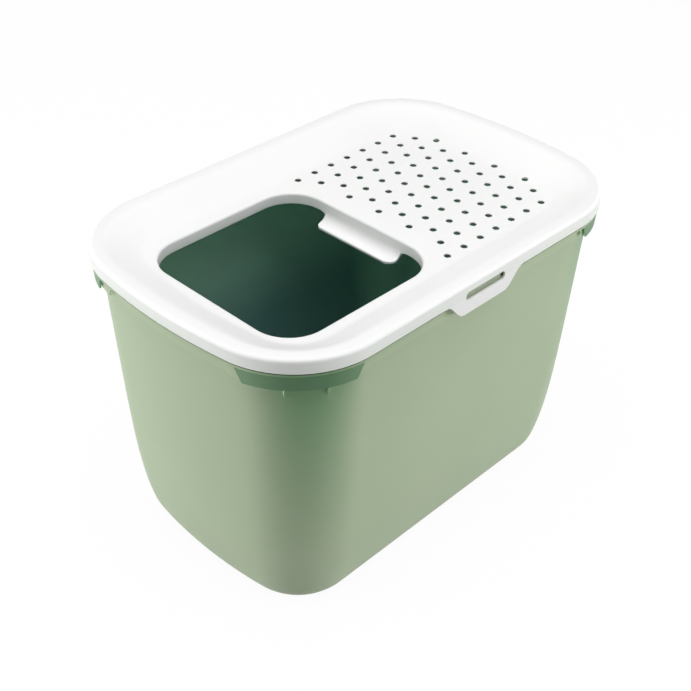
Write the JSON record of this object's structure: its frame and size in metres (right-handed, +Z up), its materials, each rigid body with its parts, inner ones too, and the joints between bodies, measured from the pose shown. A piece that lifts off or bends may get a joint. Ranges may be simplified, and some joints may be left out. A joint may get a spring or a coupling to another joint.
{
  "type": "top entry litter box",
  "caption": "Deep lift-top litter tub with a dished, vented lid, a rounded entrance with a hanging ledge, and slotted latch tabs on the long sides.",
  "frame": {"origin": "middle of the flat base, on the surface that the box stands on", "axes": "+X along the length towards the vented end, with the entrance at the -X end; +Y across the box to the back long side; +Z up"},
  "size_m": [0.5848, 0.391, 0.395],
  "materials": {
    "tub_plastic": "satin moulded plastic, sage green",
    "lid_plastic": "semi-gloss moulded plastic, white"
  },
  "bodies": {
    "tub": {"tub": "tub_plastic"},
    "lid": {"lid": "lid_plastic"},
    "front_latch": {"front_latch_tab": "lid_plastic"},
    "back_latch": {"back_latch_tab": "lid_plastic"}
  },
  "joints": [
    {"name": "lid_lift", "type": "slide", "parent": "tub", "child": "lid", "axis": [0, 0, 1], "range_m": [0, 0.2]},
    {"name": "front_latch_flex", "type": "hinge", "parent": "lid", "child": "front_latch", "pos_m": [0, -0.19498, 0.386], "axis": [-1, 0, 0], "range_deg": [0, 8], "stiffness_Nm_per_rad": 2},
    {"name": "back_latch_flex", "type": "hinge", "parent": "lid", "child": "back_latch", "pos_m": [0, 0.19498, 0.386], "axis": [1, 0, 0], "range_deg": [0, 8], "stiffness_Nm_per_rad": 2}
  ]
}
